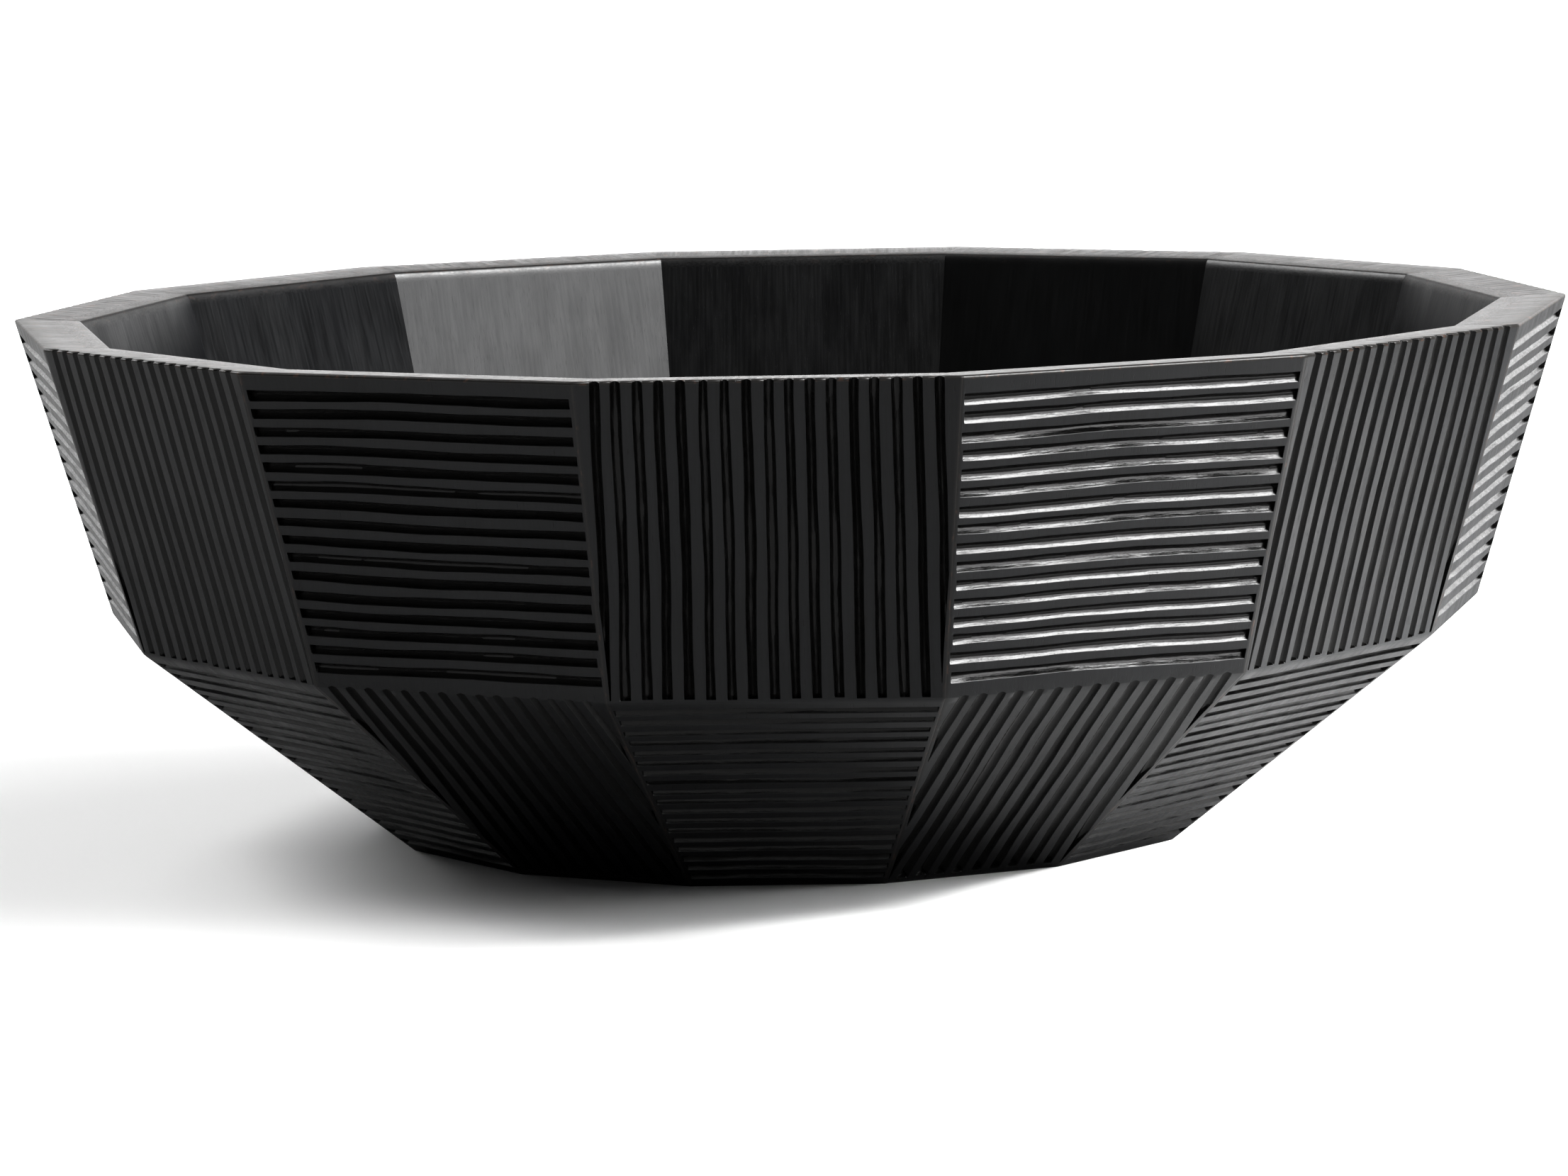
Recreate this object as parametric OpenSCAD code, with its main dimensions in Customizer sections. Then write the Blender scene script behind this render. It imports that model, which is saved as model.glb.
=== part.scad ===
// Faceted wooden bowl, coopered from two rings of mitred boards on a flat base panel.
// The origin is the centre of the underside, and +Z is up.
// Face 1 of each ring looks along -Y, and the faces are numbered anticlockwise from above.
// Every outer face is carved with parallel grooves, which run along the face or across it in turn,
// so that the two rings together make a checkerboard.

/* [Bowl] */
// Width of the rim, across opposite corners
rim_d = 440; // [400:5:480]
// Width of the waist, where the two rings of boards meet, across opposite corners
waist_d = 389; // [370:5:395]
// Width of the foot, across opposite corners
foot_d = 234; // [200:5:260]
// Height of the rim above the floor
height = 146; // [135:1:165]
// Height of the waist above the floor
waist_z = 61; // [55:1:70]
// Thickness of every board
board_t = 18; // [12:1:22]

/* [Carving] */
// Width of a groove, cut half-round with a gouge
groove_w = 2.6; // [1.6:0.1:3.4]
// Spacing of the grooves that run up and down a face
upright_pitch = 5.42; // [4.6:0.02:6.5]
// Spacing of the grooves that run across a face
level_pitch = 5.1; // [4.6:0.02:6.5]
// Least distance from the edge of a face to the middle of its first groove
border = 5; // [4:0.25:8]
// Wood left between a groove's stopped end and the edge of its face
end_gap = 0.9; // [0.5:0.1:2]
// Wood left above the floor where the upright grooves of the lower ring stop
foot_gap = 2.2; // [1:0.2:5]

/* [Hidden] */
// An even number of faces lets the two patterns alternate all the way round
faces = 14;
face_angle = 360 / faces;
gouge_r = groove_w / 2;
// Overlap that carries a cut clear of the wood
past = 1;

// Middle of a face's top and bottom edges, as [distance from the axis, height]
function flat_r(corner_d) = corner_d / 2 * cos(face_angle / 2);
rim = [flat_r(rim_d), height];
waist = [flat_r(waist_d), waist_z];
foot = [flat_r(foot_d), 0];

// Slope of each ring's boards above the horizontal, and how long they are up the slope
upper_slope = atan2(rim[1] - waist[1], rim[0] - waist[0]);
lower_slope = atan2(waist[1] - foot[1], waist[0] - foot[0]);
upper_len = norm(rim - waist);
lower_len = norm(waist - foot);

// Inner edges of the boards. The waist and foot joints are mitres that halve the angle between the
// boards, so each inner edge lies where the boards' inner surfaces meet.
function mitre(outer, slope_below, slope_above) =
    let (across = (slope_below + slope_above) / 2 + 90,
         reach = board_t / cos((slope_above - slope_below) / 2))
    outer + reach * [cos(across), sin(across)];
inner_rim = rim - [board_t / sin(upper_slope), 0];
inner_waist = mitre(waist, lower_slope, upper_slope);
inner_foot = mitre(foot, 0, lower_slope);

// Half the width of a face at a given distance from the axis
function half_width(r) = r * tan(face_angle / 2);

function two_digits(n) = n < 10 ? str("0", n) : str(n);
function upper_name(n) = str("upper_stave_", two_digits(n));
function lower_name(n) = str("lower_stave_", two_digits(n));
function is_odd(n) = n % 2 == 1;

// Turns a board that is drawn towards +X round to its own face of the bowl
module at_face(n) {
    rotate((n - 1) * face_angle - 90) children();
}

// One board: its cross-section drawn out sideways, and mitred to the boards beside it
module board(section) {
    side = rim_d / 2 + past;
    intersection() {
        rotate([90, 0, 0])
            linear_extrude(2 * half_width(side), center = true) polygon(section);
        translate([0, 0, -past])
            linear_extrude(height + 2 * past)
                polygon([[0, 0], [side, -half_width(side)], [side, half_width(side)]]);
    }
}

// Places its children on a board's outer face: X across, Y up the slope from bottom, Z out of the wood
module on_face(bottom, slope) {
    translate([bottom[0], 0, bottom[1]])
        rotate([0, 90 - slope, 0])
            rotate([90, 0, 90]) children();
}

// The part of a face that the gouge works, from y0 to y1, kept clear of the sloping side edges
module field(bottom_half, top_half, len, y0, y1) {
    lean = (top_half - bottom_half) / len;
    function half_at(y) = bottom_half + lean * y - end_gap;
    linear_extrude(2 * groove_w, center = true)
        polygon([[-half_at(y0), y0], [half_at(y0), y0], [half_at(y1), y1], [-half_at(y1), y1]]);
}

// As many grooves as fit between the borders of a face that is `size` wide, evenly about its middle
function groove_places(size, pitch) =
    let (gaps = floor((size - 2 * border) / pitch))
    [for (i = [0 : gaps]) (i - gaps / 2) * pitch];

// Grooves that run up and down the face. Those near the sides run out at the sloping edges.
module upright_grooves(bottom_half, top_half, len, y0, y1) {
    intersection() {
        field(bottom_half, top_half, len, y0, y1);
        for (x = groove_places(2 * top_half, upright_pitch))
            translate([x, y0 - past, 0])
                rotate([-90, 0, 0]) cylinder(r = gouge_r, h = y1 - y0 + 2 * past, $fn = 48);
    }
}

// Grooves that run straight across the face, each stopped just short of both side edges
module level_grooves(bottom_half, top_half, len) {
    lean = (top_half - bottom_half) / len;
    for (y = groove_places(len, level_pitch)) {
        groove_half = bottom_half + lean * (len / 2 + y) - end_gap;
        translate([-groove_half, len / 2 + y, 0])
            rotate([0, 90, 0]) cylinder(r = gouge_r, h = 2 * groove_half, $fn = 48);
    }
}

// Board of the upper ring. Its upright grooves stay open at the rim and stop just above the waist.
module upper_stave(n) {
    bottom_half = half_width(waist[0]);
    top_half = half_width(rim[0]);
    color(is_odd(n) ? "#3a3a3d" : "#2e2e31")
        at_face(n) difference() {
            board([rim, waist, inner_waist, inner_rim]);
            on_face(waist, upper_slope)
                if (is_odd(n))
                    upright_grooves(bottom_half, top_half, upper_len, end_gap / 2, upper_len + groove_w);
                else
                    level_grooves(bottom_half, top_half, upper_len);
        }
}

// Board of the lower ring. Its upright grooves start at the waist and stop just above the foot.
module lower_stave(n) {
    bottom_half = half_width(foot[0]);
    top_half = half_width(waist[0]);
    color(is_odd(n) ? "#242427" : "#303033")
        at_face(n) difference() {
            board([waist, foot, inner_foot, inner_waist]);
            on_face(foot, lower_slope)
                if (is_odd(n))
                    level_grooves(bottom_half, top_half, lower_len);
                else
                    upright_grooves(bottom_half, top_half, lower_len, foot_gap, lower_len + groove_w);
        }
}

// Flat panel that closes the bottom, with its edge mitred to the lower boards
module base_panel() {
    foot_outline = [for (i = [0 : faces - 1])
        foot_d / 2 * [cos((i + 0.5) * face_angle - 90), sin((i + 0.5) * face_angle - 90)]];
    color("#1f1f21")
        linear_extrude(board_t, scale = inner_foot[0] / foot[0]) polygon(foot_outline);
}

for (n = [1 : faces]) {
    upper_stave(n);
    lower_stave(n);
}
base_panel();
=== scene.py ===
"""Faceted wooden bowl: two rings of mitred boards on a flat base, carved with a gouge and stained black.

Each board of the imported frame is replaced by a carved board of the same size. Lengths are in metres.
On a board's outer face, u runs across, v runs up the slope and w points out of the wood.
"""
import math

import bmesh
import bpy
import numpy as np
from mathutils import Matrix, Vector


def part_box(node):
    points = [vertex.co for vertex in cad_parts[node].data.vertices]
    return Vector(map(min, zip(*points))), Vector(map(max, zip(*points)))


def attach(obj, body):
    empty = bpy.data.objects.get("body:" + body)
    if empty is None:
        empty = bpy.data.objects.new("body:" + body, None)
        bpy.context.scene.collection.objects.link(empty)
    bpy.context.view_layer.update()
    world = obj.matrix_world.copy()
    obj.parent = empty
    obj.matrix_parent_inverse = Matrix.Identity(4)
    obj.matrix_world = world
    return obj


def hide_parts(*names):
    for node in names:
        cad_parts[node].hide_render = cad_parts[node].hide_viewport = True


MM = 0.001

RIM_FALL = 0.9 * MM      # how much lower the rim's inner edge is than its outer one
WEAR_TOP = 1.2 * MM      # reach of the inner edge's rounding over the rim's top
WEAR_INSIDE = 3 * MM     # and down the inner face

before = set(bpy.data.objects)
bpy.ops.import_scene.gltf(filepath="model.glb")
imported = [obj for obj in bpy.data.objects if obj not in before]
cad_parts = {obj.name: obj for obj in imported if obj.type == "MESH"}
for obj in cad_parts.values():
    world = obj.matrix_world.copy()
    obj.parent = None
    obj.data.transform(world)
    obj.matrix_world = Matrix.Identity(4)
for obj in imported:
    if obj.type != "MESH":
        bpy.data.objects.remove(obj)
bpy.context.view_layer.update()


# ---------------------------------------------------------------- sizes, from the frame

def corner_radius(prefix):
    """Distance from the axis to a ring's outer corners."""
    return max(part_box(name)[1].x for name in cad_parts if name.startswith(prefix))


FACES = sum(name.startswith("upper_stave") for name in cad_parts)
FACE_ANGLE = 2 * math.pi / FACES
TAN_HALF = math.tan(FACE_ANGLE / 2)
COS_HALF = math.cos(FACE_ANGLE / 2)

RIM_CORNER = corner_radius("upper_stave")
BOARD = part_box("base_panel")[1].z

# The middle of each outer edge of the boards, as (distance from the axis, height)
RIM = np.array([RIM_CORNER * COS_HALF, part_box("upper_stave_01")[1].z])
WAIST = np.array([corner_radius("lower_stave") * COS_HALF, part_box("upper_stave_01")[0].z])
FOOT = np.array([corner_radius("base_panel") * COS_HALF, 0.0])


def slope(bottom, top):
    return math.atan2(top[1] - bottom[1], top[0] - bottom[0])


UPPER_SLOPE = slope(WAIST, RIM)
LOWER_SLOPE = slope(FOOT, WAIST)


def mitre(outer, slope_below, slope_above):
    """Inner end of the glue line between two boards."""
    across = (slope_below + slope_above) / 2 + math.pi / 2
    reach = BOARD / math.cos((slope_above - slope_below) / 2)
    return outer + reach * np.array([math.cos(across), math.sin(across)])


INNER_RIM = RIM - np.array([BOARD / math.sin(UPPER_SLOPE), 0.0])
INNER_WAIST = mitre(WAIST, LOWER_SLOPE, UPPER_SLOPE)
INNER_FOOT = mitre(FOOT, 0.0, LOWER_SLOPE)
# The rim's top and the inner face would meet at RIM_INSIDE, but their edge is rounded: it starts at
# RIM_END and ends at INSIDE_START
RIM_INSIDE = INNER_RIM - RIM_FALL * np.array([1 / math.tan(UPPER_SLOPE), 1])
RIM_END = RIM_INSIDE + WEAR_TOP * np.array([1, RIM_FALL / BOARD])
INSIDE_START = RIM_INSIDE - WEAR_INSIDE * np.array([math.cos(UPPER_SLOPE), math.sin(UPPER_SLOPE)])
# How far the glue line of a joint leans along a board for each unit of depth
WAIST_LEAN = math.tan((UPPER_SLOPE - LOWER_SLOPE) / 2)
FOOT_LEAN = math.tan(LOWER_SLOPE / 2)

# ---------------------------------------------------------------- carving

UPRIGHT_PITCH = 5.42 * MM
LEVEL_PITCH = 5.1 * MM
BORDER = 5 * MM          # least distance from a face's edge to the middle of its first groove
GROOVE_DEPTH = 1.4 * MM
GROOVE_WIDTHS = (2.6, 3.2)    # in mm, the range from which each board gets a width
LOWER_EXTRA = 0.2 * MM   # how much wider the upright grooves of the lower ring are
END_GAP = 0.9 * MM       # wood left between a groove's end and the side edge of its face
WAIST_GAP = 0.4 * MM     # wood left above the waist by the upright grooves of the upper ring
FOOT_GAP = 2.2 * MM      # wood left above the floor by the upright grooves of the lower ring
STOP = 0.12 * MM         # run of the steep cut that ends a groove
ARRIS = 0.12 * MM        # depth of the rubbed corner between two boards
ARRIS_RUN = 0.35 * MM    # and how far it reaches onto each face
EDGE = 0.7 * MM          # rounding of the rim's outer edge
CORNER_WEAR = 0.8        # how rubbed the corners between the boards are, from 0 to 1
SIDE_WEAR = 0.3          # and the strips beside them
EDGE_WEAR = 0.9          # and the rim's outer edge
RIM_WEAR = 0.6           # and its top
STEP = 1.4 * MM          # spacing of points along an upright groove
LEVEL_STEP = 1.25 * MM   # and along a level one
MARGIN = 3               # lines of points between the carved part of a face and each of its edges
SEED = 20                # of the hand's wander

# Points across a groove, from lip to lip
HALF_ACROSS = [0.32, 0.6, 0.8, 0.93, 1]
ACROSS = np.array([-x for x in reversed(HALF_ACROSS)] + [0] + HALF_ACROSS)
NOSE = 0.95              # roundness of the gouge's edge, as a share of half its width
LIP = 0.14               # width of the rubbed lip of a groove, likewise
LIP_LOSS = 0.35          # share of the depth that the rubbing takes at the very edge


def gouge(across):
    """Depth of a cut with a round bottom and soft lips, as a share of its full depth.

    across is the place across the groove, from -1 to 1.
    """
    across = np.abs(across)
    fall = (np.sqrt(across ** 2 + NOSE ** 2) - NOSE) / (math.sqrt(1 + NOSE ** 2) - NOSE)
    lip = np.clip((across - 1 + LIP) / LIP, 0, 1)
    return (1 - fall) * (1 - LIP_LOSS * lip ** 2)


class Waves:
    """A slow random wander for each of a row of grooves, which neighbours partly share."""

    def __init__(self, rng, count, waves):
        lengths, sizes = np.array(waves).T
        n = len(lengths)
        self.rates = 2 * math.pi / lengths
        # The phase drifts from groove to groove, and each one has a little of its own
        drift = np.arange(count)[:, None] * rng.uniform(-0.45, 0.45, n)
        own = rng.uniform(-0.5, 0.5, (count, n))
        self.phases = rng.uniform(0, 2 * math.pi, n) + drift + own
        self.sizes = sizes * rng.uniform(0.5, 1.0, (count, n))

    def __call__(self, x):
        """The wander at the places x, with one row for each groove."""
        angles = self.rates[:, None, None] * x[None, None, :] + self.phases.T[:, :, None]
        return (self.sizes.T[:, :, None] * np.sin(angles)).sum(0)


class Grooves:
    """The grooves of one face: where their middles run, how wide they are and how deep."""

    def __init__(self, rng, size, pitch, width):
        gaps = int((size - 2 * BORDER) / pitch)
        self.count = gaps + 1
        # No two cuts are quite evenly spaced, equally wide or equally deep
        self.places = (np.arange(self.count) - gaps / 2) * pitch
        self.places += rng.uniform(-0.22, 0.22, self.count) * MM
        self.halves = width / 2 * rng.uniform(0.9, 1.08, self.count)
        self.depths = GROOVE_DEPTH * rng.uniform(0.85, 1.1, self.count)
        # Each wave has a length and a size
        wander = [(150 * MM, 0.32 * MM), (68 * MM, 0.2 * MM), (27 * MM, 0.045 * MM)]
        self.wander = Waves(rng, self.count, wander)
        self.swell = Waves(rng, self.count, [(70 * MM, 0.09), (26 * MM, 0.04), (9 * MM, 0.015)])
        self.dip = Waves(rng, self.count, [(50 * MM, 0.06), (13 * MM, 0.03), (6 * MM, 0.015)])

    def middle(self, x):
        return self.places[:, None] + self.wander(x)

    def half(self, x):
        return self.halves[:, None] * (1 + self.swell(x))

    def depth(self, x):
        return self.depths[:, None] * (1 + self.dip(x))

    def depth_at(self, across, along):
        """Depth of the carving at columns of points, which follow the grooves from end to end."""
        middle, half, deep = self.middle(along), self.half(along), self.depth(along)
        place = (across[:, None, :] - middle[None]) / half[None]
        return (gouge(np.clip(place, -1, 1)) * deep[None]).max(1)

    def lines(self, along):
        """Lines that follow the grooves and the middles of the ridges between them."""
        middle, half = self.middle(along), self.half(along)
        cuts = middle[:, None, :] + ACROSS[None, :, None] * half[:, None, :]
        ridges = (cuts[:-1, -1] + cuts[1:, 0]) / 2
        rows = []
        for i in range(self.count):
            rows.extend(cuts[i])
            rows.extend(ridges[i:i + 1])
        return np.array(rows)

    def owners(self):
        """The groove that each of those lines belongs to, with halves for the ridges."""
        rows = []
        for i in range(self.count):
            rows += [i] * len(ACROSS) + [i + 0.5]
        return np.array(rows[:-1])

    def ragged(self, rng, low, high):
        """A random length for each groove, blended over the ridges, for each of the lines."""
        return np.interp(self.owners(), np.arange(self.count), rng.uniform(low, high, self.count))


def pad(values):
    """The values with the first one and the last one repeated, for the margins of a face."""
    return np.pad(values, MARGIN, mode="edge")


def steps(start, end, spacing):
    """Evenly spaced places from start to end, both included."""
    return np.linspace(start, end, max(2, round((end - start) / spacing) + 1))


class Face:
    """The outer face of a board: a trapezium between a bottom edge and a top edge."""

    def __init__(self, bottom, top):
        run = top - bottom
        self.bottom = bottom
        self.length = float(np.hypot(*run))
        self.up = run / self.length
        self.out = np.array([self.up[1], -self.up[0]])

    def half(self, v, deep=0.0):
        """Half the width of the board at height v up its slope, at a depth under its face."""
        return (self.bottom[0] + v * self.up[0] - deep * self.out[0]) * TAN_HALF

    def place(self, v, deep):
        """Distance from the axis and height of points under the face."""
        r = self.bottom[0] + v * self.up[0] - deep * self.out[0]
        z = self.bottom[1] + v * self.up[1] - deep * self.out[1]
        return r, z


UPPER = Face(WAIST, RIM)
LOWER = Face(FOOT, WAIST)


def upright_carving(rng, face, width, low_gap):
    """A face with upright grooves that run out through its top edge, as u, v and depth.

    Columns of points come first and rows second, from the bottom edge up.
    """
    grooves = Grooves(rng, 2 * face.half(face.length), UPRIGHT_PITCH, width)
    rows = np.concatenate([
        [0, ARRIS_RUN * 0.7, low_gap + ARRIS_RUN, low_gap + ARRIS_RUN + STOP],
        steps(low_gap + STEP, face.length - 2 * STEP, STEP),
        [face.length - 1.5 * EDGE, face.length],
    ])
    side = face.half(rows)
    # Grooves beside a sloping edge run out at a line that wavers along it
    wave = 1 + 0.2 * np.sin(rows / (9 * MM) + rng.uniform(0, 6))
    limit = side - END_GAP * wave
    lines = np.clip(grooves.lines(rows), -(limit - STOP), limit - STOP)
    u = np.vstack([-side, ARRIS_RUN - side, -limit, lines, limit, side - ARRIS_RUN, side])
    deep = np.zeros_like(u)
    deep[MARGIN:-MARGIN] = grooves.depth_at(lines, rows)
    deep[:, :MARGIN] = 0

    # Each groove stops at its own height, and the rows above it close up again within a few steps
    lift = pad(grooves.ragged(rng, -0.3 * MM, 0.3 * MM))
    fade = np.clip(1 - (rows - low_gap) / (8 * STEP), 0, 1)
    fade[:2] = 0
    return u, rows[None, :] + lift[:, None] * fade[None, :], deep


def level_carving(rng, face, width, below=None):
    """A face with level grooves that stop short of its sides, as u, v and depth.

    below is the carved top edge of the board below, as u and depth, where its grooves cut a little
    into this face.
    """
    grooves = Grooves(rng, face.length, LEVEL_PITCH, width)
    if below is None:
        across = steps(-1, 1, LEVEL_STEP / face.half(face.length))
    else:
        # The columns follow those of the board below, whose grooves run on into this face
        columns = below[0][MARGIN:-MARGIN]
        across = np.interp(columns, columns[[0, -1]], [-1, 1])
    carved = across * (face.half(face.length / 2) - END_GAP)
    lines = face.length / 2 + grooves.lines(carved)
    inner = grooves.depth_at(lines - face.length / 2, carved)
    # Uncut lines fill the face up to its bottom and top edges
    flat = np.zeros((1, len(across)))
    edge = flat + ARRIS_RUN
    v = np.vstack([flat, edge, (edge + lines[:1]) / 2, lines,
                   (lines[-1:] + face.length) / 2, face.length - edge, face.length + flat])
    inner = np.vstack([flat, flat, flat, inner, flat, flat, flat])

    # Each groove stops at its own distance from the side
    v = np.column_stack([v[:, :1], v[:, :1], v[:, :1], v, v[:, -1:], v[:, -1:], v[:, -1:]])
    left, right = (pad(grooves.ragged(rng, -0.35 * MM, 0.45 * MM)) for _ in range(2))
    start = face.half(v[:, 0]) - END_GAP - left
    end = face.half(v[:, -1]) - END_GAP - right
    middle = (across + 1) / 2
    u = np.column_stack([
        -face.half(v[:, 0]), ARRIS_RUN - face.half(v[:, 0]), -start,
        (STOP - start)[:, None] * (1 - middle) + (end - STOP)[:, None] * middle,
        end, face.half(v[:, -1]) - ARRIS_RUN, face.half(v[:, -1]),
    ])
    none = np.zeros((len(v), MARGIN))
    deep = np.column_stack([none, inner, none])
    u, v, deep = u.T, v.T, deep.T
    # The bottom edge follows the notches that the grooves below have cut in it
    if below is not None:
        u[:, 0], u[:, 1] = below[0], below[0]
        deep[:, 0] = below[1]
        v[:, 1] = np.maximum(v[:, 1], 0.5 * below[1])
    return u, v, deep


def finish(face, u, v, deep, bottom_lean, top_lean, top_rub, top_edge=0.0):
    """Rubs down the corners round a face, and lays its ends in the planes that cut the board off.

    The leans say how far those planes run along the board for each unit of depth. top_rub is the
    least depth of the top corner. The ridges end top_edge below the top, and the grooves run up to it.
    """
    deep[[0, -1]] = ARRIS
    v[:, -2] = np.minimum(v[:, -2], face.length - 1.5 * top_edge)
    v[:, -1] -= top_edge * np.clip(1 - deep[:, -1] / GROOVE_DEPTH, 0, 1)
    deep[:, 0] = np.maximum(deep[:, 0], ARRIS)
    deep[:, -1] = np.maximum(deep[:, -1], top_rub)
    v[:, 0] += bottom_lean * deep[:, 0]
    v[:, -2:] -= top_lean * deep[:, -2:]
    u[0] = -face.half(v[0], deep[0])
    u[-1] = face.half(v[-1], deep[-1])
    return u, v, deep


# ---------------------------------------------------------------- boards

GRAIN_SHIFT = 0.31       # distance in the grain from one board to the next, so that no two are alike
SAME_POINT = 0.002 * MM  # points closer than this are one
NO_LENGTH = 0.0001 * MM  # edges shorter than this are none
SHARP = 38               # degrees, least angle of an edge that stays sharp


class Board:
    """A board as a closed outline for each column of points across it.

    r, z and u place the points round the bowl's axis, and board holds them as u, v and w of the flat
    board, which the grain follows. cut and worn say how deep in a groove and how rubbed they are.
    """

    def __init__(self, face, upright, u, v, deep):
        self.face = face
        self.upright = upright
        self.r, self.z = face.place(v, deep)
        self.u = u
        self.board = np.stack([u, v, -deep], -1)
        self.cut = deep / GROOVE_DEPTH
        self.worn = np.zeros_like(deep)
        self.worn[[0, -1]] = CORNER_WEAR
        self.worn[[1, -2]] = SIDE_WEAR

    def add(self, r, z, v, deep, worn=0.0):
        """One more line of points that runs across the board."""
        across = self.u[:, -1] / (self.r[:, -1] * TAN_HALF)
        across[0], across[-1] = -1, 1
        r = r + np.zeros_like(across)
        u = across * r * TAN_HALF
        new = np.stack([u, v + np.zeros_like(u), -deep + np.zeros_like(u)], -1)
        self.u = np.column_stack([self.u, u])
        self.r = np.column_stack([self.r, r])
        self.z = np.column_stack([self.z, z + np.zeros_like(u)])
        self.board = np.concatenate([self.board, new[:, None]], 1)
        self.cut = np.column_stack([self.cut, np.zeros_like(u)])
        self.worn = np.column_stack([self.worn, worn + np.zeros_like(u)])

    def add_rim(self):
        """The top of an upper board, with both its edges rounded."""
        length = self.face.length
        corner, start = self.r[:, -1].copy(), self.z[:, -1].copy()
        self.worn[:, -1] = CORNER_WEAR
        # The outer edge
        for turn in np.radians([25, 50, 90]):
            r = corner - EDGE * (1 - math.cos(turn))
            z = start + (RIM[1] - start) * math.sin(turn)
            self.add(r, z, length + EDGE * math.sin(turn), 0, EDGE_WEAR)
        # The flat of the top, which falls inwards
        for t in (0.3, 0.6):
            r = corner + (INNER_RIM[0] - corner) * t
            self.add(r, RIM[1] - RIM_FALL * t, length + BOARD * t, 0, RIM_WEAR)
        # The inner edge
        for t in np.linspace(0, 1, 7):
            r, z = (1 - t) ** 2 * RIM_END + 2 * t * (1 - t) * RIM_INSIDE + t ** 2 * INSIDE_START
            self.add(r, z, length - WEAR_INSIDE * t, BOARD * (0.6 + 0.4 * t), RIM_WEAR * (1 - t))

    def add_inside(self, start, end, count):
        """The inner face of a board, from its top edge to its bottom edge."""
        for t in np.linspace(0, 1, count):
            r, z = start + t * (end - start)
            self.add(r, z, (1 - t) * self.face.length, BOARD)

    def mesh(self, name, number):
        """The board as a solid, turned to its own place in the bowl."""
        columns, rows = self.u.shape
        turn = (number - 1) * FACE_ANGLE - math.pi / 2
        x = self.r * math.cos(turn) - self.u * math.sin(turn)
        y = self.r * math.sin(turn) + self.u * math.cos(turn)
        points = np.stack([x, y, self.z], -1).reshape(-1, 3)
        index = np.arange(columns * rows).reshape(columns, rows)
        a, b = index[:-1], index[1:]
        quads = np.stack([a, b, np.roll(b, -1, 1), np.roll(a, -1, 1)], -1).reshape(-1, 4)
        # The two glued ends close the solid
        ends = [index[0].tolist(), index[-1][::-1].tolist()]
        mesh = bpy.data.meshes.new(name)
        mesh.from_pydata(points.tolist(), [], quads.tolist() + ends)
        self.board[..., 0] += GRAIN_SHIFT * number
        # The gouge's marks follow its own path, along v or along u
        tool = self.board if self.upright else self.board[..., [1, 0, 2]]
        for label, kind, values in (
            ("board", "FLOAT_VECTOR", self.board), ("tool", "FLOAT_VECTOR", tool),
            ("cut", "FLOAT", self.cut), ("worn", "FLOAT", self.worn),
        ):
            layer = mesh.attributes.new(label, kind, "POINT")
            layer.data.foreach_set("vector" if kind == "FLOAT_VECTOR" else "value", values.ravel())
        weld(mesh)
        paint_grooves(mesh)
        return mesh


def weld(mesh):
    """Joins points that fell together, and keeps only the sharp edges sharp."""
    bm = bmesh.new()
    bm.from_mesh(mesh)
    bmesh.ops.remove_doubles(bm, verts=bm.verts, dist=SAME_POINT)
    bmesh.ops.dissolve_degenerate(bm, dist=NO_LENGTH, edges=bm.edges)
    bm.to_mesh(mesh)
    bm.free()
    mesh.shade_smooth()
    mesh.set_sharp_from_angle(angle=math.radians(SHARP))


def paint_grooves(mesh):
    """Gives the second material to the faces that lie in a groove, whose deeper black is partly painted
    shade.
    """
    cut = np.empty(len(mesh.vertices))
    mesh.attributes["cut"].data.foreach_get("value", cut)
    loops = np.empty(len(mesh.loops), int)
    mesh.loops.foreach_get("vertex_index", loops)
    starts = np.empty(len(mesh.polygons), int)
    mesh.polygons.foreach_get("loop_start", starts)
    deepest = np.maximum.reduceat(cut[loops], starts)
    index = (deepest > 2 * ARRIS / GROOVE_DEPTH).astype(int)
    mesh.polygons.foreach_set("material_index", index)


def is_upright(ring, number):
    """Odd upper boards and even lower ones have upright grooves."""
    return (number % 2 == 1) == (ring == "upper")


def lower_board(rng, number, width):
    """A lower board, and its top edge as u and depth."""
    upright = is_upright("lower", number)
    if upright:
        carving = upright_carving(rng, LOWER, width + LOWER_EXTRA, FOOT_GAP)
    else:
        carving = level_carving(rng, LOWER, width)
    u, v, deep = finish(LOWER, *carving, FOOT_LEAN, WAIST_LEAN, ARRIS)
    board = Board(LOWER, upright, u, v, deep)
    board.add_inside(INNER_WAIST, INNER_FOOT, 6)
    return board, (u[:, -1], deep[:, -1])


def upper_board(rng, number, width, below):
    """An upper board, over a lower one whose top edge is given as u and depth."""
    upright = is_upright("upper", number)
    if upright:
        carving = upright_carving(rng, UPPER, width, WAIST_GAP)
    else:
        carving = level_carving(rng, UPPER, width, below)
    # The board's top is level, not square to its face
    flat_top = UPPER.up[0] / UPPER.up[1]
    board = Board(UPPER, upright, *finish(UPPER, *carving, WAIST_LEAN, flat_top, 0, EDGE))
    board.add_rim()
    board.add_inside(INSIDE_START, INNER_WAIST, 7)
    return board


def link(name, node, mesh, materials):
    """Puts a carved board in the place of its packed one."""
    for material in materials:
        mesh.materials.append(material)
    piece = bpy.data.objects.new(name, mesh)
    bpy.context.scene.collection.objects.link(piece)
    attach(piece, "root")
    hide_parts(node)


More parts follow.
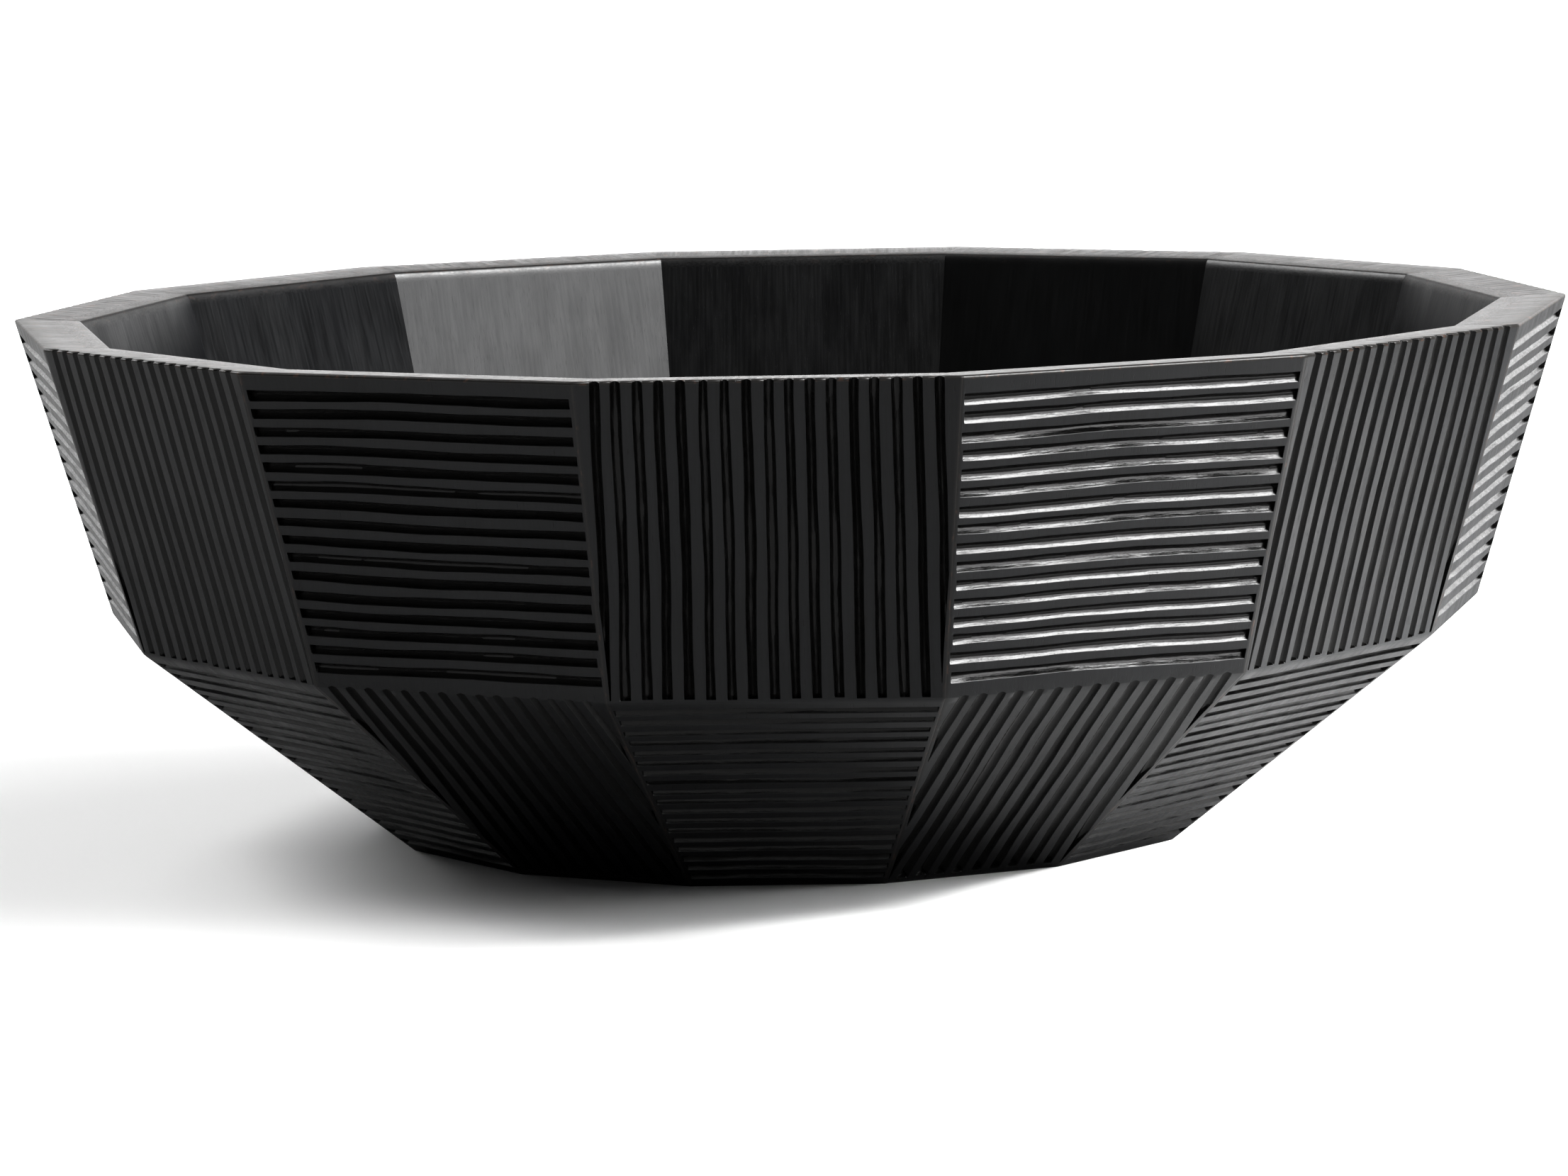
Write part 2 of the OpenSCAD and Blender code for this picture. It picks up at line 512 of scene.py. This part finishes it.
def make_boards(materials):
    """All the boards of both rings, one face after another."""
    rng = np.random.default_rng(SEED)
    widths = rng.uniform(*GROOVE_WIDTHS, (2, FACES)) * MM
    for number, lower_width, upper_width in zip(range(1, FACES + 1), *widths):
        lower, top_edge = lower_board(rng, number, lower_width)
        upper = upper_board(rng, number, upper_width, top_edge)
        for ring, board in (("lower", lower), ("upper", upper)):
            node = f"{ring}_stave_{number:02d}"
            name = f"{node}_carved"
            link(name, node, board.mesh(name, number), materials)


# ---------------------------------------------------------------- materials

# Colours of the stained wood
STAIN = (0.005, 0.0053, 0.006, 1)
THIN_STAIN = (0.011, 0.0118, 0.0135, 1)
PORE = (0.002, 0.002, 0.002, 1)
RUBBED = (0.05, 0.045, 0.04, 1)
BARE_WOOD = (0.12, 0.065, 0.045, 1)
BASE_STAIN = (0.006, 0.006, 0.006, 1)
BASE_THIN_STAIN = (0.02, 0.018, 0.016, 1)
# The cuts: a deeper black than the faces, partly the cut wood's own colour and partly painted shade in the
# grooves
CUT_AND_SHADE = (0.002, 0.0019, 0.0018, 1)
TORN_CUT_AND_SHADE = (0.006, 0.0054, 0.0048, 1)

# Size of each feature of the boards across them, up them and into them
STREAKS = (0.9 * MM, 28 * MM, 0.9 * MM)
PORES = (0.3 * MM, 4 * MM, 0.3 * MM)
PATCHES = (22 * MM, 45 * MM, 22 * MM)
CHIPS = (2.5 * MM, 6 * MM, 2.5 * MM)
CLOUDS = (7 * MM, 26 * MM, 7 * MM)
# Of the gouge's marks across its path, along it and into the wood
CHATTER = (0.5 * MM, 3 * MM, 0.5 * MM)
# And of the base from left to right, from front to back and into it
BASE_STREAKS = (28 * MM, 0.9 * MM, 0.9 * MM)
BASE_PATCHES = (60 * MM, 25 * MM, 25 * MM)

FACE_RELIEF = 0.045 * MM
BASE_RELIEF = 0.04 * MM
CUT_RELIEF = 0.05 * MM


class Nodes:
    """The nodes of a material, made and joined in one step."""

    def __init__(self, name):
        self.material = bpy.data.materials.new(name)
        self.material.use_nodes = True
        self.tree = self.material.node_tree
        self.shader = self.tree.nodes["Principled BSDF"]

    def plug(self, socket, value):
        """Sets an input to a value, or joins it to another node's output."""
        if isinstance(value, bpy.types.NodeSocket):
            self.tree.links.new(value, socket)
        else:
            socket.default_value = value

    def attribute(self, name, output):
        node = self.tree.nodes.new("ShaderNodeAttribute")
        node.attribute_name = name
        return node.outputs[output]

    def stretch(self, vector, size):
        """Coordinates in which a cell of the given size in each direction measures 1."""
        node = self.tree.nodes.new("ShaderNodeVectorMath")
        node.operation = "MULTIPLY"
        self.plug(node.inputs[0], vector)
        node.inputs[1].default_value = [1 / s for s in size]
        return node.outputs[0]

    def noise(self, vector, size, detail):
        """Noise from 0 to 1 with features of the given size in each direction."""
        node = self.tree.nodes.new("ShaderNodeTexNoise")
        node.inputs["Scale"].default_value = 1
        node.inputs["Detail"].default_value = detail
        node.inputs["Roughness"].default_value = 0.55
        self.plug(node.inputs["Vector"], self.stretch(vector, size))
        return node.outputs[0]

    def ramp(self, value, low, high, to_low=0.0, to_high=1.0):
        """Maps low..high to to_low..to_high and holds the ends."""
        node = self.tree.nodes.new("ShaderNodeMapRange")
        node.interpolation_type = "SMOOTHSTEP"
        self.plug(node.inputs["Value"], value)
        node.inputs["From Min"].default_value = low
        node.inputs["From Max"].default_value = high
        node.inputs["To Min"].default_value = to_low
        node.inputs["To Max"].default_value = to_high
        return node.outputs[0]

    def math(self, operation, a, b):
        node = self.tree.nodes.new("ShaderNodeMath")
        node.operation = operation
        self.plug(node.inputs[0], a)
        self.plug(node.inputs[1], b)
        return node.outputs[0]

    def mix(self, share, a, b):
        """Colour a, turning into colour b as the share goes from 0 to 1."""
        node = self.tree.nodes.new("ShaderNodeMix")
        node.data_type = "RGBA"
        self.plug(node.inputs[0], share)
        self.plug(node.inputs[6], a)
        self.plug(node.inputs[7], b)
        return node.outputs[2]

    def bump(self, height, distance, strength):
        node = self.tree.nodes.new("ShaderNodeBump")
        node.inputs["Distance"].default_value = distance
        node.inputs["Strength"].default_value = strength
        self.plug(node.inputs["Height"], height)
        return node.outputs[0]

    def blend(self, a, b, share):
        """A weighted mean of two values, with the given share of b."""
        return self.math("ADD", self.math("MULTIPLY", a, 1 - share), self.math("MULTIPLY", b, share))


def grain(nodes, board):
    """Streaks that run up the board, and open pores, which are strongest on its outside."""
    streaks = nodes.noise(board, STREAKS, 3)
    fine = nodes.noise(board, PORES, 1)
    split = nodes.tree.nodes.new("ShaderNodeSeparateXYZ")
    nodes.plug(split.inputs[0], board)
    outside = nodes.ramp(split.outputs["Z"], -BOARD / 2, -BOARD / 4, 0.2, 1)
    return streaks, nodes.math("MULTIPLY", nodes.ramp(fine, 0.66, 0.72), outside)


def faced_wood():
    """The planed and rubbed surface of the boards: black stain with worn corners."""
    nodes = Nodes("black_stained_wood")
    board = nodes.attribute("board", "Vector")
    worn = nodes.attribute("worn", "Fac")
    streaks, pores = grain(nodes, board)
    patches = nodes.noise(board, PATCHES, 2)
    tone = nodes.blend(streaks, patches, 0.4)
    colour = nodes.mix(nodes.ramp(tone, 0.3, 0.7), STAIN, THIN_STAIN)
    colour = nodes.mix(nodes.math("MULTIPLY", pores, 0.6), colour, PORE)
    colour = nodes.mix(nodes.math("MULTIPLY", worn, 0.6), colour, RUBBED)
    # Small chips along the corners, where bare wood shows
    chips = nodes.noise(board, CHIPS, 3)
    bare = nodes.math("MULTIPLY", nodes.ramp(chips, 0.58, 0.66), worn)
    colour = nodes.mix(nodes.math("MULTIPLY", bare, 0.7), colour, BARE_WOOD)
    # Clouds in the sheen, except where it is rubbed, and dull pores
    clouds = nodes.ramp(nodes.noise(board, CLOUDS, 3), 0.3, 0.7, -0.04, 0.04)
    cloudy = nodes.math("MULTIPLY", clouds, nodes.math("SUBTRACT", 1, worn))
    rough = nodes.math("ADD", nodes.ramp(streaks, 0.3, 0.7, 0.34, 0.42), nodes.math("MULTIPLY", pores, 0.2))
    rough = nodes.math("ADD", rough, cloudy)
    relief = nodes.math("SUBTRACT", nodes.math("MULTIPLY", streaks, 0.6), pores)
    nodes.plug(nodes.shader.inputs["Base Color"], colour)
    nodes.plug(nodes.shader.inputs["Roughness"], rough)
    nodes.plug(nodes.shader.inputs["Normal"], nodes.bump(relief, FACE_RELIEF, 0.6))
    return nodes.material


def base_wood():
    """The flat base: the same stain, brushed over grain that runs from left to right."""
    nodes = Nodes("base_wood")
    place = nodes.tree.nodes.new("ShaderNodeTexCoord").outputs["Object"]
    streaks = nodes.noise(place, BASE_STREAKS, 3)
    patches = nodes.noise(place, BASE_PATCHES, 2)
    tone = nodes.blend(streaks, patches, 0.4)
    colour = nodes.mix(nodes.ramp(tone, 0.3, 0.7), BASE_STAIN, BASE_THIN_STAIN)
    nodes.plug(nodes.shader.inputs["Base Color"], colour)
    nodes.plug(nodes.shader.inputs["Roughness"], nodes.ramp(streaks, 0.3, 0.7, 0.38, 0.52))
    nodes.plug(nodes.shader.inputs["Normal"], nodes.bump(streaks, BASE_RELIEF, 0.6))
    return nodes.material


def gouged_and_shaded_wood():
    """The burnished cuts of the gouge: a deeper black, partly the cut wood's own colour and partly painted
    shade in the grooves, with its chatter marks and torn grain.
    """
    nodes = Nodes("gouged_and_shaded_wood")
    board = nodes.attribute("board", "Vector")
    streaks, pores = grain(nodes, board)
    chatter = nodes.noise(nodes.attribute("tool", "Vector"), CHATTER, 3)
    # The groove colours are darker than the faces' stain, partly as painted shade in the recesses
    colour = nodes.mix(nodes.ramp(chatter, 0.4, 0.7), CUT_AND_SHADE, TORN_CUT_AND_SHADE)
    rough = nodes.ramp(chatter, 0.3, 0.7, 0.16, 0.24)
    nodes.plug(nodes.shader.inputs["Base Color"], colour)
    nodes.plug(nodes.shader.inputs["Roughness"], rough)
    torn = nodes.math("ADD", chatter, nodes.math("MULTIPLY", streaks, 0.5))
    torn = nodes.math("SUBTRACT", torn, nodes.math("MULTIPLY", pores, 0.5))
    nodes.plug(nodes.shader.inputs["Normal"], nodes.bump(torn, CUT_RELIEF, 0.7))
    nodes.shader.inputs["Specular IOR Level"].default_value = 0.42
    return nodes.material


# ---------------------------------------------------------------- stage

CAMERA_DISTANCE = 8.161 * RIM_CORNER
CAMERA_TURN = (1.571, 7.383, -1.094)        # azimuth, elevation and roll in degrees
AIM_RIGHT = -0.0116 * RIM_CORNER
AIM_HEIGHT = 0.2981 * RIM_CORNER
LENS = 144.68            # mm
ROOM = 0.1               # brightness of the room round the lights
BACKDROP = 1.05          # brightness of the surroundings as the camera sees them
FLOOR_SIZE = 24          # m
FLOOR_SEEN = 0.9         # grey of the floor to the camera
FLOOR_MIRRORED = 0.47    # and to the wood that mirrors it
FLOOR_FOOT_SHADOW = 0.16     # likewise, close to the foot, where a shadow is painted on it
CONTRAST = 0.77          # under 1 darkens the dark tones of the picture


def camera():
    """A long lens, a little above the rim, turned slightly to the right of the first face."""
    azimuth, elevation, roll = (math.radians(a) for a in CAMERA_TURN)
    ahead = Vector((-math.sin(azimuth) * math.cos(elevation),
                    math.cos(azimuth) * math.cos(elevation), -math.sin(elevation)))
    right = ahead.cross(Vector((0, 0, 1))).normalized()
    up = right.cross(ahead)
    aim = right * AIM_RIGHT + Vector((0, 0, AIM_HEIGHT))
    side = right * math.cos(roll) + up * math.sin(roll)
    top = up * math.cos(roll) - right * math.sin(roll)
    data = bpy.data.cameras.new("camera")
    data.lens = LENS
    data.sensor_width = 36
    data.clip_start = 0.05
    data.clip_end = 60
    cam = bpy.data.objects.new("camera", data)
    turn = Matrix((side, top, -ahead)).transposed().to_4x4()
    cam.matrix_world = Matrix.Translation(aim - ahead * CAMERA_DISTANCE) @ turn
    bpy.context.scene.collection.objects.link(cam)
    bpy.context.scene.camera = cam


def softbox(name, azimuth, elevation, spread, brightness, mirrored=True, on_floor=True):
    """A far round light, spread over an angle. Azimuth 0 is in front, and it grows to the right.

    It shows in reflections if mirrored is set, and brightens matt surfaces if on_floor is.
    """
    a, e = math.radians(azimuth), math.radians(elevation)
    towards = Vector((math.sin(a) * math.cos(e), -math.cos(a) * math.cos(e), math.sin(e)))
    data = bpy.data.lights.new(name, "SUN")
    data.angle = math.radians(spread)
    data.energy = brightness * math.pi * math.sin(data.angle / 2) ** 2
    lamp = bpy.data.objects.new(name, data)
    lamp.rotation_euler = towards.to_track_quat("Z", "Y").to_euler()
    lamp.visible_glossy = mirrored
    lamp.visible_diffuse = on_floor
    bpy.context.scene.collection.objects.link(lamp)


def spot(name, place, aim, spread, power):
    """A lamp that brightens one part of the floor."""
    data = bpy.data.lights.new(name, "SPOT")
    data.spot_size = math.radians(spread)
    data.spot_blend = 1
    data.shadow_soft_size = 0.08
    data.energy = power
    lamp = bpy.data.objects.new(name, data)
    lamp.location = place
    lamp.rotation_euler = (Vector(place) - Vector(aim)).to_track_quat("Z", "Y").to_euler()
    lamp.visible_glossy = False
    bpy.context.scene.collection.objects.link(lamp)


def surroundings():
    """White to the camera, and a dim room to the bowl."""
    world = bpy.data.worlds.new("studio")
    bpy.context.scene.world = world
    world.use_nodes = True
    tree = world.node_tree
    back = tree.nodes["Background"]
    back.inputs["Color"].default_value = (1, 1, 1, 1)
    back.inputs["Strength"].default_value = ROOM
    white = tree.nodes.new("ShaderNodeBackground")
    white.inputs["Strength"].default_value = BACKDROP
    path = tree.nodes.new("ShaderNodeLightPath")
    mix = tree.nodes.new("ShaderNodeMixShader")
    tree.links.new(path.outputs["Is Camera Ray"], mix.inputs[0])
    tree.links.new(back.outputs[0], mix.inputs[1])
    tree.links.new(white.outputs[0], mix.inputs[2])
    tree.links.new(mix.outputs[0], tree.nodes["World Output"].inputs["Surface"])


def grey(level):
    return (level, level, level, 1)


def floor():
    """White to the camera, and to the bowl that mirrors it a dimmer grey, with a painted shadow that
    darkens it towards the foot.
    """
    half = FLOOR_SIZE / 2
    mesh = bpy.data.meshes.new("floor")
    corners = [(-half, -half, 0), (half, -half, 0), (half, half, 0), (-half, half, 0)]
    mesh.from_pydata(corners, [], [(0, 1, 2, 3)])
    nodes = Nodes("floor")
    path = nodes.tree.nodes.new("ShaderNodeLightPath")
    place = nodes.tree.nodes.new("ShaderNodeTexCoord").outputs["Object"]
    distance = nodes.tree.nodes.new("ShaderNodeVectorMath")
    distance.operation = "LENGTH"
    nodes.plug(distance.inputs[0], place)
    # A painted shadow round the foot, for every ray but the camera's
    away = nodes.ramp(distance.outputs["Value"], FOOT[0], (FOOT[0] + WAIST[0]) / 2)
    mirrored = nodes.mix(away, grey(FLOOR_FOOT_SHADOW), grey(FLOOR_MIRRORED))
    colour = nodes.mix(path.outputs["Is Camera Ray"], mirrored, grey(FLOOR_SEEN))
    nodes.plug(nodes.shader.inputs["Base Color"], colour)
    nodes.shader.inputs["Roughness"].default_value = 0.9
    mesh.materials.append(nodes.material)
    plane = bpy.data.objects.new("floor", mesh)
    bpy.context.scene.collection.objects.link(plane)


def lamps():
    """Soft lamps over the bowl and round it. The angles are in degrees."""
    softbox("key", 70, 54, 32, 31, on_floor=False)
    softbox("fill", 51, 23, 30, 7.5, on_floor=False)
    softbox("left", -127, 38, 30, 8.5)
    softbox("floor_left", -138, 30, 50, 5, mirrored=False)
    softbox("floor_right", 88, 25, 40, 15, mirrored=False)
    softbox("floor_back", 118, 42, 50, 2.2, mirrored=False)
    softbox("backdrop", -155, 3, 30, 1)
    softbox("backdrop", 180, 2, 30, 3.1)
    softbox("backdrop", 155, 5, 30, 2)
    spot("floor_front", (0.85, -0.15, 0.5), (0.35, -0.12, 0), 34, 230)


def stain_base():
    """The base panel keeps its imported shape."""
    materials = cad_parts["base_panel"].data.materials
    materials.clear()
    materials.append(base_wood())


make_boards([faced_wood(), gouged_and_shaded_wood()])
stain_base()
floor()
camera()
surroundings()
lamps()
bpy.context.scene.view_settings.view_transform = "Standard"
bpy.context.scene.view_settings.gamma = CONTRAST
